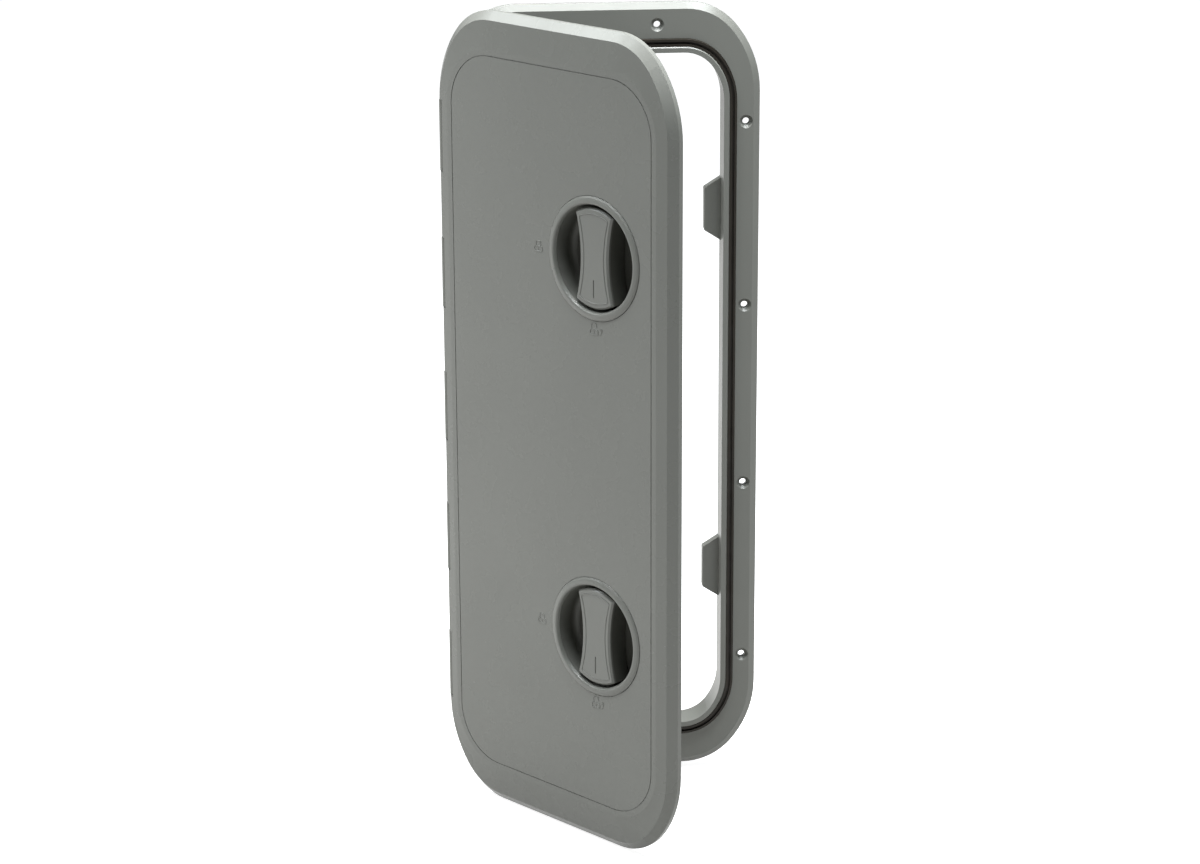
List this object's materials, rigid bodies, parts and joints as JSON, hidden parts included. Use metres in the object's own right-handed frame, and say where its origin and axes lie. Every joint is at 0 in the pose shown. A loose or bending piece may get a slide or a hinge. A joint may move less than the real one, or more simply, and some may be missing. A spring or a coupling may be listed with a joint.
{
  "type": "deck hatch",
  "caption": "Rectangular rounded access hatch for boats: flush frame with seal, side-hinged lid and two quarter-turn latches.",
  "frame": {"origin": "centre of the opening and of the screw pattern, on the back of the flange where it lies on the deck or bulkhead", "axes": "+Z along the long side, +X from the hinge to the latch side, -Y out of the deck towards the user"},
  "size_m": [0.237, 0.2073, 0.607],
  "materials": {
    "frame_plastic": "satin moulded grey plastic",
    "lid_plastic": "satin moulded grey plastic",
    "latch_plastic": "satin moulded grey plastic",
    "handle_plastic": "satin moulded grey plastic",
    "cam_nylon": "matt filled nylon",
    "seal_rubber": "matt soft rubber",
    "latch_rubber": "matt rubber",
    "stainless": "brushed stainless steel"
  },
  "bodies": {
    "frame_body": {"frame": "frame_plastic", "frame_seal": "seal_rubber", "hinge_pin": "stainless"},
    "lid_body": {"lid": "lid_plastic", "hinge_plug": "lid_plastic", "upper_latch_housing": "latch_plastic", "upper_latch_gasket": "latch_rubber", "upper_latch_ring_nut": "latch_plastic", "lower_latch_housing": "latch_plastic", "lower_latch_gasket": "latch_rubber", "lower_latch_ring_nut": "latch_plastic"},
    "upper_latch": {"upper_latch_handle": "handle_plastic", "upper_latch_oring": "latch_rubber", "upper_latch_clip": "stainless", "upper_latch_spindle": "stainless", "upper_latch_cam": "cam_nylon", "upper_latch_washer": "stainless", "upper_latch_nut": "stainless"},
    "lower_latch": {"lower_latch_handle": "handle_plastic", "lower_latch_oring": "latch_rubber", "lower_latch_clip": "stainless", "lower_latch_spindle": "stainless", "lower_latch_cam": "cam_nylon", "lower_latch_washer": "stainless", "lower_latch_nut": "stainless"}
  },
  "joints": [
    {"name": "lid_hinge", "type": "hinge", "parent": "frame_body", "child": "lid_body", "pos_m": [-0.1165, -0.011, 0], "axis": [0, 0, -1], "range_deg": [-50, 120]},
    {"name": "upper_latch_turn", "type": "hinge", "parent": "lid_body", "child": "upper_latch", "pos_m": [-0.00426, -0.12765, 0.1415], "axis": [0.766, 0.6428, 0], "range_deg": [0, 90]},
    {"name": "lower_latch_turn", "type": "hinge", "parent": "lid_body", "child": "lower_latch", "pos_m": [-0.00426, -0.12765, -0.1415], "axis": [0.766, 0.6428, 0], "range_deg": [0, 90]}
  ]
}
